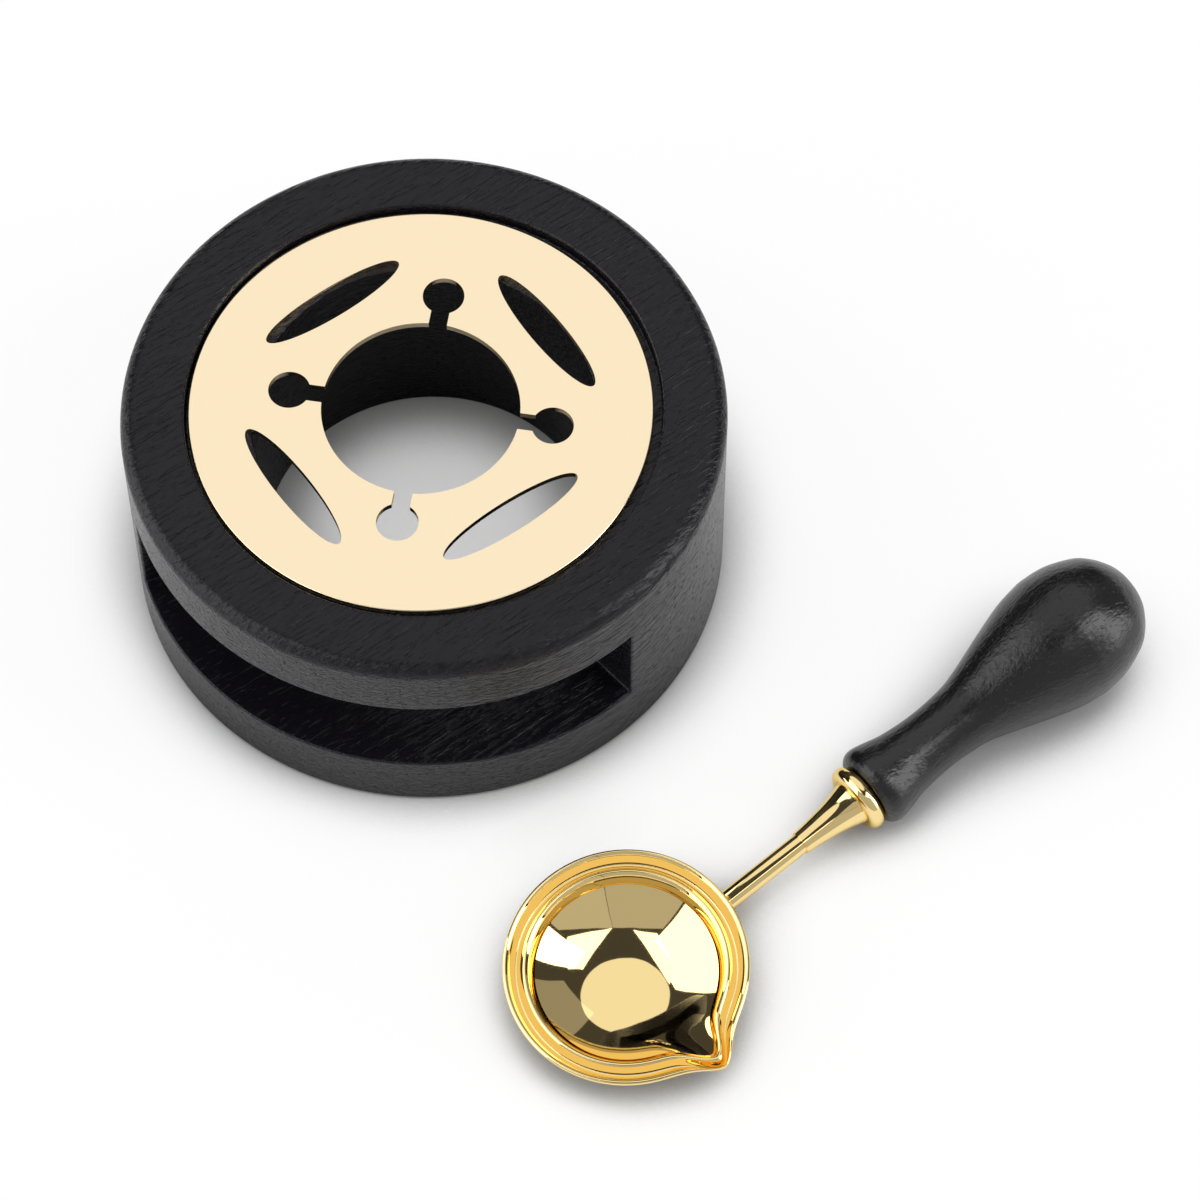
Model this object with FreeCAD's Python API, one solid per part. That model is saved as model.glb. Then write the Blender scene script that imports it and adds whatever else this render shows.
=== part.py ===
import FreeCAD, Part
import math
import os

os.makedirs("parts", exist_ok=True)

# Warmer body: a turned wooden ring with a rebate on top and a slot in front
body_radius = 42.5
body_height = 37.5
bore_radius = 24.2
top_round = 2.2
foot_break = 0.5
rebate_arris = 0.3
slot_floor = 10.7
slot_ceiling = 26.9
slot_centre_angle = -104.5
slot_half_angle = 57.6
slot_arris = 0.3
slot_lip_share = 0.01
cutter_run_out = 2.0

# Grate: a round metal plate that drops into the rebate
grate_radius = 32.6
grate_thickness = 1.0
grate_recess = 1.1
grate_seat_clearance = 0.9
grate_rest_dx = -0.45
grate_rest_dy = 0.35
grate_edge_round = 0.25
grate_pattern_angle = -9.0
pattern_count = 4
centre_hole_radius = 13.95
keyhole_radius = 2.95
keyhole_pitch_radius = 18.7
keyhole_neck = 2.6
leaf_half_length = 11.3
leaf_half_width = 2.4
leaf_pitch_radius = 21.65

# Spoon: where the bowl stands beside the warmer, which way the handle points,
# and how far the spoon has rolled over towards its spout
spoon_x = 28.42
spoon_y = -71.55
spoon_heading = 38.79
spoon_roll = 4.0

# Bowl: a pressed shallow dish with a stepped brim, a lip and a pouring spout
rim_radius = 17.1
rim_rise = 6.1
bowl_height = 7.9
sheet = 0.9
dish_radius = 20.9
dish_flat_radius = 1.2
dish_edge_angle = 39.5
dish_rings = 5
# Brim as shares of the rim radius and of the bowl height: up the outside to the lip,
# over the lip into the groove, and over the ridge down to the dish
under_shares = (
    (0.807, 0.671), (0.854, 0.684), (0.901, 0.684), (0.942, 0.728), (0.971, 0.810), (0.991, 0.899),
)
lip_shares = (
    (1.000, 0.956), (0.994, 0.987), (0.982, 1.000), (0.971, 0.996), (0.956, 0.968),
    (0.942, 0.918), (0.924, 0.848), (0.906, 0.797), (0.895, 0.787),
)
step_shares = (
    (0.886, 0.791), (0.868, 0.823), (0.851, 0.873), (0.836, 0.911), (0.822, 0.924),
    (0.807, 0.911), (0.792, 0.880), (0.775, 0.823), (0.757, 0.753),
)

# Spout: how far, where and how sharply the wall is drawn out and lifted
spout_reach = 4.5
spout_lip_share = 0.65
spout_ease_share = 0.84
spout_lift = 1.4
spout_lift_shares = (0.736, 0.9)
spout_angle = -85.8
spout_spread = 0.18
spout_sharpness = 1.6
spout_start_height = 3.6
spout_full_height = 5.6
spout_half_sweep = 0.5
spout_points = 20
round_points = 24

# Stem rod, brazed to the bowl and let into the handle
rod_radius = 1.5
rod_start = 9.0
tang_end = 58.3
braze_film = 0.03

# Ferrule: a bell-shaped sleeve pressed on the rod, ending in a bead
ferrule_start = 31.3
ferrule_tip_radius = 1.72
ferrule_neck_radius = 3.3
ferrule_neck_x = 40.6
ferrule_flare_shares = ((0.15, 0.07), (0.35, 0.21), (0.55, 0.37), (0.72, 0.56), (0.88, 0.80))
bead_radius = 1.3
bead_ring_radius = 3.75
ferrule_bore_clearance = 0.03

# Handle: a turned pear-shaped grip
handle_start = 43.24
handle_end = 92.57
grip_radius = 9.95
handle_front_radius = 4.9
tang_clearance = 0.03
tang_bottom_gap = 1.5
grip_contact_share = 0.739
# Grip outline from front to back, as shares of the handle length and of its largest radius
handle_shares = (
    (0.014, 0.572), (0.036, 0.604), (0.070, 0.580), (0.143, 0.500), (0.251, 0.464), (0.360, 0.500),
    (0.431, 0.587), (0.540, 0.766), (0.648, 0.931), (0.718, 0.989), (0.755, 1.000), (0.826, 0.960),
    (0.899, 0.826), (0.934, 0.704), (0.962, 0.548), (0.985, 0.350),
)

# Values that follow from those above
rebate_radius = grate_radius + grate_seat_clearance
rebate_depth = grate_recess + grate_thickness
ledge_height = body_height - rebate_depth
slot_sweep = 2 * slot_half_angle
bowl_foot = rim_rise - bowl_height
dish_centre = bowl_foot + dish_radius
grip_contact_x = handle_start + grip_contact_share * (handle_end - handle_start)
# The axis rises from the bowl to the grip, so that both rest on the table
axis_span = dish_centre * math.cos(math.radians(spoon_roll)) + grip_radius
spoon_pitch = math.degrees(
    math.acos(dish_radius / math.hypot(axis_span, grip_contact_x)) - math.atan2(grip_contact_x, axis_span)
)
half_root = math.sqrt(0.5)

origin = FreeCAD.Vector(0, 0, 0)
up = FreeCAD.Vector(0, 0, 1)
along = FreeCAD.Vector(1, 0, 0)
across = FreeCAD.Vector(0, 1, 0)


def revolve_profile(edges, axis):
    """A solid of revolution from the edges of one closed outline."""
    face = Part.Face(Part.Wire(edges))
    return Part.Solid(face.revolve(origin, axis, 360))


def line(first, second):
    return Part.LineSegment(first, second).toShape()


def arc(first, middle, last):
    return Part.Arc(first, middle, last).toShape()


def radial(radius, height):
    """A point of an outline that is turned about the upright axis."""
    return FreeCAD.Vector(radius, 0, height)


def rounded_corner(centre_radius, centre_height, size, first_turn, last_turn):
    """A quarter round between two turns, both in degrees."""
    points = []
    for turn in (first_turn, (first_turn + last_turn) / 2, last_turn):
        angle = math.radians(turn)
        points.append(radial(centre_radius + size * math.cos(angle), centre_height + size * math.sin(angle)))
    return arc(*points)


def turned_ring():
    """The body as it leaves the lathe: bore, rebate, rounded top edge, broken foot edge."""
    foot = rounded_corner(body_radius - foot_break, foot_break, foot_break, -90, 0)
    shoulder = rounded_corner(body_radius - top_round, body_height - top_round, top_round, 0, 90)
    arris = rounded_corner(rebate_radius + rebate_arris, body_height - rebate_arris, rebate_arris, 90, 180)
    edges = [
        line(radial(bore_radius, 0), radial(body_radius - foot_break, 0)),
        foot,
        line(radial(body_radius, foot_break), radial(body_radius, body_height - top_round)),
        shoulder,
        line(radial(body_radius - top_round, body_height), radial(rebate_radius + rebate_arris, body_height)),
        arris,
        line(radial(rebate_radius, body_height - rebate_arris), radial(rebate_radius, ledge_height)),
        line(radial(rebate_radius, ledge_height), radial(bore_radius, ledge_height)),
        line(radial(bore_radius, ledge_height), radial(bore_radius, 0)),
    ]
    return revolve_profile(edges, up)


def slot_cutter():
    """The sector that the front slot takes out, with radial ends."""
    inner = bore_radius - cutter_run_out
    outer = body_radius + cutter_run_out
    corners = [radial(inner, slot_floor), radial(outer, slot_floor)]
    corners += [radial(outer, slot_ceiling), radial(inner, slot_ceiling), radial(inner, slot_floor)]
    face = Part.Face(Part.makePolygon(corners))
    sector = Part.Solid(face.revolve(origin, up, slot_sweep))
    sector.rotate(origin, up, slot_centre_angle - slot_half_angle)
    return sector


def on_outer_wall(edge):
    """Whether an edge of the slot lies on the outer wall of the body."""
    for vertex in edge.Vertexes:
        if abs(math.hypot(vertex.X, vertex.Y) - body_radius) > slot_arris * slot_lip_share:
            return False
        if vertex.Z < slot_floor - slot_arris or vertex.Z > slot_ceiling + slot_arris:
            return False
    return len(edge.Vertexes) == 2


def make_warmer_body():
    body = turned_ring().cut(slot_cutter())
    lips = [edge for edge in body.Edges if on_outer_wall(edge)]
    return body.makeFillet(slot_arris, lips)


def keyhole(turn):
    """A round vent with a neck into the centre hole."""
    vent = Part.makeCylinder(keyhole_radius, grate_thickness)
    vent.translate(FreeCAD.Vector(keyhole_pitch_radius, 0, 0))
    neck = Part.makeBox(keyhole_pitch_radius, keyhole_neck, grate_thickness)
    neck.translate(FreeCAD.Vector(0, -keyhole_neck / 2, 0))
    opening = vent.fuse(neck)
    opening.rotate(origin, up, turn)
    return opening


def leaf(turn):
    """A long elliptical vent that lies along the rim."""
    edge = Part.Ellipse(origin, leaf_half_length, leaf_half_width).toShape()
    opening = Part.Face(Part.Wire(edge)).extrude(up * grate_thickness)
    opening.rotate(origin, up, 90)
    opening.translate(FreeCAD.Vector(leaf_pitch_radius, 0, 0))
    opening.rotate(origin, up, turn)
    return opening


def rim_edges(plate):
    """The two circles round the outside of the plate."""
    found = []
    for edge in plate.Edges:
        if isinstance(edge.Curve, Part.Circle) and abs(edge.Curve.Radius - grate_radius) < grate_edge_round:
            found.append(edge)
    return found


def make_grate_plate():
    plate = Part.makeCylinder(grate_radius, grate_thickness)
    plate = plate.makeFillet(grate_edge_round, rim_edges(plate))
    pitch = 360 / pattern_count
    openings = [Part.makeCylinder(centre_hole_radius, grate_thickness)]
    for index in range(pattern_count):
        turn = grate_pattern_angle + index * pitch
        openings.append(keyhole(turn))
        openings.append(leaf(turn + pitch / 2))
    plate = plate.cut(openings[0].fuse(openings[1:]))
    plate.translate(FreeCAD.Vector(grate_rest_dx, grate_rest_dy, ledge_height))
    return plate


def dish_wall(radius):
    """Rings up one side of the dish, from the small flat at its bottom to its edge."""
    first = math.asin(dish_flat_radius / radius)
    last = math.radians(dish_edge_angle)
    turns = [first + (last - first) * index / (dish_rings - 1) for index in range(dish_rings)]
    return [(radius * math.sin(turn), dish_centre - radius * math.cos(turn)) for turn in turns]


def brim_wall(shares):
    return [(rim_radius * out, bowl_foot + bowl_height * rise) for out, rise in shares]


def spout_growth(height):
    """How fully the spout has formed at a height: 0 low in the dish, 1 at the brim."""
    rise = (height - bowl_foot - spout_start_height) / (spout_full_height - spout_start_height)
    rise = max(0, min(1, rise))
    return rise * rise * (3 - 2 * rise)


def brim_ease(radius, first_share, last_share):
    """0 up to one share of the rim radius, then evenly up to 1 at another."""
    ease = (radius / rim_radius - first_share) / (last_share - first_share)
    return max(0, min(1, ease))


def spout_shift(radius, height, away):
    """How far a point of a ring is drawn out and lifted, by its angle away from the spout."""
    near = spout_growth(height) * math.exp(-(away / spout_spread) ** spout_sharpness)
    pull = spout_reach * (1 - (1 - spout_lip_share) * brim_ease(radius, spout_ease_share, 1))
    lift = spout_lift * (1 - brim_ease(radius, *spout_lift_shares))
    return near * pull, near * lift


def ring_turns():
    """Angles round a ring, close together at the spout, ending where they began."""
    step = 2 * spout_half_sweep / spout_points
    turns = [step * index - spout_half_sweep for index in range(spout_points)]
    step = 2 * (math.pi - spout_half_sweep) / round_points
    turns += [spout_half_sweep + step * index for index in range(round_points + 1)]
    return turns


def ring_wire(radius, height):
    """One closed ring of the wall, drawn out and lifted at the spout."""
    turns = ring_turns()
    points = []
    for turn in turns[:-1]:
        away = min(abs(turn), 2 * math.pi - turn)
        pull, lift = spout_shift(radius, height, away)
        reach = radius + pull
        points.append(FreeCAD.Vector(reach * math.cos(turn), reach * math.sin(turn), height + lift))
    curve = Part.BSplineCurve()
    curve.interpolate(Points=points, PeriodicFlag=True, Parameters=turns)
    return Part.Wire(curve.toShape())


def bowl_walls():
    """The bowl's skin in five smooth stretches of rings, each starting where the last one ends."""
    outside = dish_wall(dish_radius)
    inside = dish_wall(dish_radius - sheet)[::-1]
    lip = brim_wall(lip_shares)
    under = [outside[-1]] + brim_wall(under_shares) + [lip[0]]
    step = [lip[-1]] + brim_wall(step_shares) + [inside[0]]
    return outside, under, lip, step, inside


def make_spoon_bowl():
    """The bowl as one closed skin: smooth dish walls, and a brim of narrow strips."""
    walls = bowl_walls()
    faces = [Part.Face(ring_wire(*walls[0][0])), Part.Face(ring_wire(*walls[-1][-1]))]
    for rings in walls:
        strips = rings not in (walls[0], walls[-1])
        faces += Part.makeLoft([ring_wire(*ring) for ring in rings], False, strips).Faces
    skin = Part.makeShell(faces)
    skin.sewShape()
    bowl = Part.makeSolid(skin)
    bowl.rotate(origin, up, spout_angle)
    return bowl


def axial(distance, radius):
    """A point of an outline that is turned about the spoon's axis."""
    return FreeCAD.Vector(distance, 0, radius)


def turn_about_axis(edges):
    face = Part.Face(Part.Wire(edges))
    return Part.Solid(face.revolve(origin, along, 360))


def smooth_edge(points):
    curve = Part.BSplineCurve()
    curve.interpolate(Points=points)
    return curve.toShape()


def bowl_outside():
    """The bowl's outer wall, turned without its spout and swollen by the film of braze."""
    outside, under = bowl_walls()[:2]
    dish = [radial(radius + braze_film, height) for radius, height in outside]
    brim = [radial(radius + braze_film, height) for radius, height in under]
    brim += [radial(0, brim[-1].z), radial(0, dish[0].z), dish[0]]
    edges = [line(first, second) for first, second in zip(brim, brim[1:])]
    return revolve_profile([smooth_edge(dish)] + edges, up)


def make_stem_rod():
    rod = Part.makeCylinder(rod_radius, tang_end - rod_start, axial(rod_start, 0), along)
    return rod.cut(bowl_outside()).Solids[0]


def make_stem_ferrule():
    bore = rod_radius + ferrule_bore_clearance
    run = ferrule_neck_x - ferrule_start
    swell = ferrule_neck_radius - ferrule_tip_radius
    flare = [axial(ferrule_start, ferrule_tip_radius)]
    for run_share, swell_share in ferrule_flare_shares:
        flare.append(axial(ferrule_start + run_share * run, ferrule_tip_radius + swell_share * swell))
    flare.append(axial(ferrule_neck_x, ferrule_neck_radius))
    bead_x = handle_start - bead_radius
    lean = math.asin((bead_ring_radius - ferrule_neck_radius) / bead_radius)
    bead_front = bead_x - bead_radius * math.cos(lean)
    edges = [
        smooth_edge(flare),
        line(flare[-1], axial(bead_front, ferrule_neck_radius)),
        arc(
            axial(bead_front, ferrule_neck_radius),
            axial(bead_x - bead_radius * half_root, bead_ring_radius + bead_radius * half_root),
            axial(bead_x, bead_ring_radius + bead_radius),
        ),
        arc(
            axial(bead_x, bead_ring_radius + bead_radius),
            axial(bead_x + bead_radius * half_root, bead_ring_radius + bead_radius * half_root),
            axial(handle_start, bead_ring_radius),
        ),
        line(axial(handle_start, bead_ring_radius), axial(handle_start, bore)),
        line(axial(handle_start, bore), axial(ferrule_start, bore)),
        line(axial(ferrule_start, bore), flare[0]),
    ]
    return turn_about_axis(edges)


def make_spoon_handle():
    bore = rod_radius + tang_clearance
    length = handle_end - handle_start
    outline = [axial(handle_start, handle_front_radius)]
    for length_share, radius_share in handle_shares:
        outline.append(axial(handle_start + length_share * length, radius_share * grip_radius))
    outline.append(axial(handle_end, 0))
    bore_end = tang_end + tang_bottom_gap
    edges = [
        smooth_edge(outline),
        line(axial(handle_end, 0), axial(bore_end, 0)),
        line(axial(bore_end, 0), axial(bore_end, bore)),
        line(axial(bore_end, bore), axial(handle_start, bore)),
        line(axial(handle_start, bore), outline[0]),
    ]
    return turn_about_axis(edges)


def lay_down(shape):
    """Move a piece of the spoon from its own axes to its place beside the warmer."""
    laid = shape.copy()
    laid.rotate(origin, along, spoon_roll)
    laid.rotate(origin, across, -spoon_pitch)
    laid.rotate(origin, up, spoon_heading)
    pitch = math.radians(spoon_pitch)
    lift = grip_radius * math.cos(pitch) - grip_contact_x * math.sin(pitch)
    laid.translate(FreeCAD.Vector(spoon_x, spoon_y, lift))
    return laid


nodes = {
    "warmer_body": make_warmer_body(),
    "grate_plate": make_grate_plate(),
    "spoon_bowl": lay_down(make_spoon_bowl()),
    "stem_rod": lay_down(make_stem_rod()),
    "stem_ferrule": lay_down(make_stem_ferrule()),
    "spoon_handle": lay_down(make_spoon_handle()),
}
for name, shape in nodes.items():
    shape.Solids[0].exportStep("parts/" + name + ".step")
    print(name, len(shape.Solids), shape.isValid(), round(shape.Volume, 1))
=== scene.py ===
"""Studio scene of a wax melting set: a black wooden warmer with a pierced grate, and a spoon."""

import logging
import math
from dataclasses import dataclass
from enum import Enum
from typing import ClassVar

import bmesh
import bpy
from mathutils import Matrix, Vector


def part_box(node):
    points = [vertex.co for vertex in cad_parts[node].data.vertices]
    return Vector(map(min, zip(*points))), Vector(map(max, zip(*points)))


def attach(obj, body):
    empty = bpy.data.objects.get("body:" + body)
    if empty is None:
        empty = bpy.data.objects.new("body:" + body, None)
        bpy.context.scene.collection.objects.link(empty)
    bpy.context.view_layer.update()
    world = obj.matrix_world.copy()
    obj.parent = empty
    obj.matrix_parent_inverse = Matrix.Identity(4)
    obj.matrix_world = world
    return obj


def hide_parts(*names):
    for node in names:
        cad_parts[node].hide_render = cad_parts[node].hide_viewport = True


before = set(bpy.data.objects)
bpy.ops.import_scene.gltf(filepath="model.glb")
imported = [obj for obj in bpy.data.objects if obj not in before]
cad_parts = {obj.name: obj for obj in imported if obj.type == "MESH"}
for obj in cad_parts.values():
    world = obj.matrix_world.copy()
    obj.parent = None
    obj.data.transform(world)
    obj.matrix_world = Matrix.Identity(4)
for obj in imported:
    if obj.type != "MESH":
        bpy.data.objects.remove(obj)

Pair = tuple[float, float]
Triple = tuple[float, float, float]
Socket = bpy.types.NodeSocket

MM = 0.001
UNIT: Pair = (0, 1)
QUAD_CORNERS = 4
log = logging.getLogger("wax_set")


class Body(Enum):
    """The bodies of the frame that the pieces ride on."""

    WARMER = "warmer"
    GRATE = "grate"
    SPOON = "spoon"


class Axis(Enum):
    """The axis that a turned piece is turned about."""

    UPRIGHT = "z"
    ALONG = "x"


class Ray(Enum):
    """Kinds of ray that see the floor glow, by the Light Path node's output name."""

    CAMERA = "Is Camera Ray"
    GLOSSY = "Is Glossy Ray"
    TRANSMISSION = "Is Transmission Ray"


class Lamp(Enum):
    """Outlines of the soft lamps."""

    PANEL = "RECTANGLE"
    ROUND = "ELLIPSE"


def smooth_chain(points: list[Pair], steps: int) -> list[Pair]:
    """Draw a smooth line through a few outline points.

    Args:
        points: The outline points, in order.
        steps: How many short lines go between two neighbouring points.

    Returns:
        The points of the smooth line, with both ends kept.
    """
    padded = [points[0], *points, points[-1]]
    chain = []
    for before, start, end, after in zip(padded, padded[1:], padded[2:], padded[3:]):
        for step in range(steps):
            share = step / steps
            coordinates = zip(before, start, end, after)
            chain.append(tuple(curve_between(*four, share) for four in coordinates))
    chain.append(points[-1])
    return chain


def curve_between(before: float, start: float, end: float, after: float, share: float) -> float:
    """One coordinate of a cubic curve that runs smoothly through its points.

    Args:
        before: The coordinate of the point before the stretch.
        start: The coordinate where the stretch starts.
        end: The coordinate where it ends.
        after: The coordinate of the point after it.
        share: How far along the stretch to go, from 0 to 1.

    Returns:
        The coordinate there.
    """
    linear = (end - before) / 2
    square = before - 2.5 * start + 2 * end - after / 2
    cube = (after - before) / 2 + 1.5 * (start - end)
    return start + share * (linear + share * (square + share * cube))


def arc_points(centre: Pair, radius: float, first: float, last: float, steps: int) -> list[Pair]:
    """Points on an arc.

    Args:
        centre: The arc's centre.
        radius: The arc's radius.
        first: The angle of the first point, in degrees.
        last: The angle of the last point, in degrees.
        steps: How many short lines make the arc.

    Returns:
        The arc's points from first to last.
    """
    turns = [math.radians(first + (last - first) * step / steps) for step in range(steps + 1)]
    return [
        (centre[0] + radius * math.cos(turn), centre[1] + radius * math.sin(turn)) for turn in turns
    ]


def toward(azimuth: float, elevation: float) -> Vector:
    """The unit vector at an azimuth and an elevation in degrees."""
    turn, rise = math.radians(azimuth), math.radians(elevation)
    return Vector(
        (math.cos(rise) * math.cos(turn), math.cos(rise) * math.sin(turn), math.sin(rise))
    )


def mesh_object(name: str, corners: list[Triple], faces: list[list[int]]) -> bpy.types.Object:
    """Make a mesh object from points in millimetres.

    Args:
        name: The piece's name.
        corners: The corners, in millimetres in the row frame.
        faces: Corner numbers of each face, turning outward.

    Returns:
        The object, linked to the scene and smooth-shaded.
    """
    mesh = bpy.data.meshes.new(name)
    mesh.from_pydata([Vector(corner) * MM for corner in corners], [], faces)
    mesh.update()
    mesh.shade_smooth()
    piece = bpy.data.objects.new(name, mesh)
    bpy.context.scene.collection.objects.link(piece)
    return piece


def turned(name: str, outline: list[Pair], axis: Axis, segments: int) -> bpy.types.Object:
    """Turn an outline about an axis into a closed mesh.

    Args:
        name: The piece's name.
        outline: Pairs of radius and place along the axis; its ends lie on the axis.
        axis: The axis to turn about.
        segments: How many steps go round.

    Returns:
        The turned object, closed at both poles.
    """
    rings = [
        [(radius * math.cos(turn), radius * math.sin(turn), place) for turn in ring_turns(segments)]
        for radius, place in outline[1:-1]
    ]
    return ring_loft(name, rings, (0, 0, outline[0][1]), (0, 0, outline[-1][1]), axis)


def ring_turns(segments: int) -> list[float]:
    """Evenly spaced angles round a circle, in radians."""
    return [2 * math.pi * step / segments for step in range(segments)]


def ring_loft(
    name: str, rings: list[list[Triple]], start: Triple, end: Triple, axis: Axis
) -> bpy.types.Object:
    """Skin a row of rings with faces and close both ends with a pole.

    Args:
        name: The piece's name.
        rings: Rings with the same number of points each.
        start: The pole before the first ring.
        end: The pole after the last ring.
        axis: The axis that the rings' third coordinate runs along.

    Returns:
        The skinned object.
    """
    count = len(rings[0])
    corners = [start, *(corner for ring in rings for corner in ring), end]
    faces = []
    for step in range(count):
        after = (step + 1) % count
        faces.append([0, 1 + after, 1 + step])
        for row in range(len(rings) - 1):
            low = 1 + row * count
            faces.append([low + step, low + after, low + count + after, low + count + step])
        top = 1 + (len(rings) - 1) * count
        faces.append([top + step, top + after, len(corners) - 1])
    if axis is Axis.ALONG:
        corners = [(z, x, y) for x, y, z in corners]
    return mesh_object(name, corners, faces)


def finish_mesh(piece: bpy.types.Object) -> None:
    """Make a piece's modifiers part of its mesh and take them off.

    Args:
        piece: The piece.
    """
    bpy.context.view_layer.update()
    graph = bpy.context.evaluated_depsgraph_get()
    mesh = bpy.data.meshes.new_from_object(piece.evaluated_get(graph), depsgraph=graph)
    piece.modifiers.clear()
    piece.data = mesh


def drop_slivers(piece: bpy.types.Object, size: float) -> None:
    """Clear a cut mesh of doubled points and of faces with no area.

    Args:
        piece: The piece.
        size: Points nearer than this and faces thinner than this go, in millimetres.
    """
    mesh = bmesh.new()
    mesh.from_mesh(piece.data)
    bmesh.ops.remove_doubles(mesh, verts=mesh.verts, dist=size * MM)
    bmesh.ops.dissolve_degenerate(mesh, dist=size * MM, edges=mesh.edges)
    large = [face for face in mesh.faces if len(face.verts) > QUAD_CORNERS]
    bmesh.ops.triangulate(mesh, faces=large)
    bmesh.ops.dissolve_degenerate(mesh, dist=size * MM, edges=mesh.edges)
    mesh.to_mesh(piece.data)
    mesh.free()


def round_edges(piece: bpy.types.Object, width: float, segments: int, angle: float) -> None:
    """Round a piece's sharp edges and even out its shading.

    Args:
        piece: The piece.
        width: The width of the rounding, in millimetres.
        segments: How many faces go across the rounding.
        angle: The least angle of an edge that is rounded, in degrees.
    """
    bevel = piece.modifiers.new("arris", "BEVEL")
    bevel.width = width * MM
    bevel.segments = segments
    bevel.limit_method = "ANGLE"
    bevel.angle_limit = math.radians(angle)
    weighted = piece.modifiers.new("shading", "WEIGHTED_NORMAL")
    weighted.mode = "FACE_AREA"
    finish_mesh(piece)


class Shader:
    """A material's node tree, with short ways to add and join nodes."""

    def __init__(self, name: str) -> None:
        """Start a material with a Principled surface.

        Args:
            name: The material's name.
        """
        self.material = bpy.data.materials.new(name)
        self.material.use_nodes = True
        self.tree = self.material.node_tree
        self.surface = self.tree.nodes["Principled BSDF"]
        self.output = self.tree.nodes["Material Output"]

    def add(self, kind: str, **values: object) -> bpy.types.Node:
        """Add a node.

        Args:
            kind: The node's type name.
            **values: Properties of the node to set.

        Returns:
            The node.
        """
        node = self.tree.nodes.new(kind)
        for key, value in values.items():
            setattr(node, key, value)
        return node

    def join(self, source: Socket, target: Socket) -> None:
        """Link one socket to another."""
        self.tree.links.new(source, target)

    def place(self, stretch: Triple = (1, 1, 1), heading: float = 0.0) -> Socket:
        """Object coordinates along a grain.

        Args:
            stretch: How many times longer the pattern is along each axis.
            heading: The grain's direction in the level plane, in degrees.

        Returns:
            The socket with the coordinates.
        """
        coordinates = self.add("ShaderNodeTexCoord")
        mapping = self.add("ShaderNodeMapping", vector_type="TEXTURE")
        mapping.inputs["Rotation"].default_value = (0, 0, math.radians(heading))
        mapping.inputs["Scale"].default_value = stretch
        self.join(coordinates.outputs["Object"], mapping.inputs["Vector"])
        return mapping.outputs["Vector"]

    def noise(self, place: Socket, scale: float, detail: float, swirl: float = 0.0) -> Socket:
        """Noise at a place.

        Args:
            place: The coordinates to read.
            scale: The noise's scale, in waves per metre.
            detail: How many finer layers it has.
            swirl: How far the pattern is bent.

        Returns:
            The socket with the noise's value.
        """
        noise = self.add("ShaderNodeTexNoise")
        noise.inputs["Scale"].default_value = scale
        noise.inputs["Detail"].default_value = detail
        noise.inputs["Distortion"].default_value = swirl
        self.join(place, noise.inputs["Vector"])
        return noise.outputs["Fac"]

    def ramp(self, source: Socket, limits: Pair, values: Pair) -> Socket:
        """A value that goes smoothly from one number to another.

        Args:
            source: The socket to read.
            limits: The source's values where the change starts and ends.
            values: The numbers at those two limits.

        Returns:
            The socket with the result.
        """
        span = self.add("ShaderNodeMapRange", interpolation_type="SMOOTHSTEP")
        for key, value in zip(("From Min", "From Max", "To Min", "To Max"), (*limits, *values)):
            span.inputs[key].default_value = value
        self.join(source, span.inputs["Value"])
        return span.outputs["Result"]

    def product(self, first: Socket, second: Socket) -> Socket:
        """Two values multiplied."""
        return self.combine("MULTIPLY", first, second)

    def larger(self, first: Socket, second: Socket) -> Socket:
        """The larger of two values."""
        return self.combine("MAXIMUM", first, second)

    def combine(self, operation: str, first: Socket, second: Socket) -> Socket:
        """Two values put together by a Math node.

        Args:
            operation: The Math node's operation.
            first: The first value.
            second: The second value.

        Returns:
            The socket with the result.
        """
        node = self.add("ShaderNodeMath", operation=operation)
        self.join(first, node.inputs[0])
        self.join(second, node.inputs[1])
        return node.outputs[0]

    def openness(self, reach: float, samples: int) -> Socket:
        """How open the surface is to the room.

        Args:
            reach: How far the node looks, in metres.
            samples: How many rays it sends out.

        Returns:
            The socket with a share that is 1 where nothing stands within the reach.
        """
        node = self.add("ShaderNodeAmbientOcclusion", samples=samples)
        node.inputs["Distance"].default_value = reach
        return node.outputs["AO"]

    def bump(self, height: Socket, depth: float, under: Socket | None = None) -> Socket:
        """Bump from a height socket.

        Args:
            height: The height, from 0 to 1.
            depth: The real depth in millimetres.
            under: A normal to start from, if another bump comes first.

        Returns:
            The socket with the bumped normal.
        """
        bump = self.add("ShaderNodeBump")
        bump.inputs["Strength"].default_value = 1.0
        bump.inputs["Distance"].default_value = depth * MM
        self.join(height, bump.inputs["Height"])
        if under is not None:
            self.join(under, bump.inputs["Normal"])
        return bump.outputs["Normal"]


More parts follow.
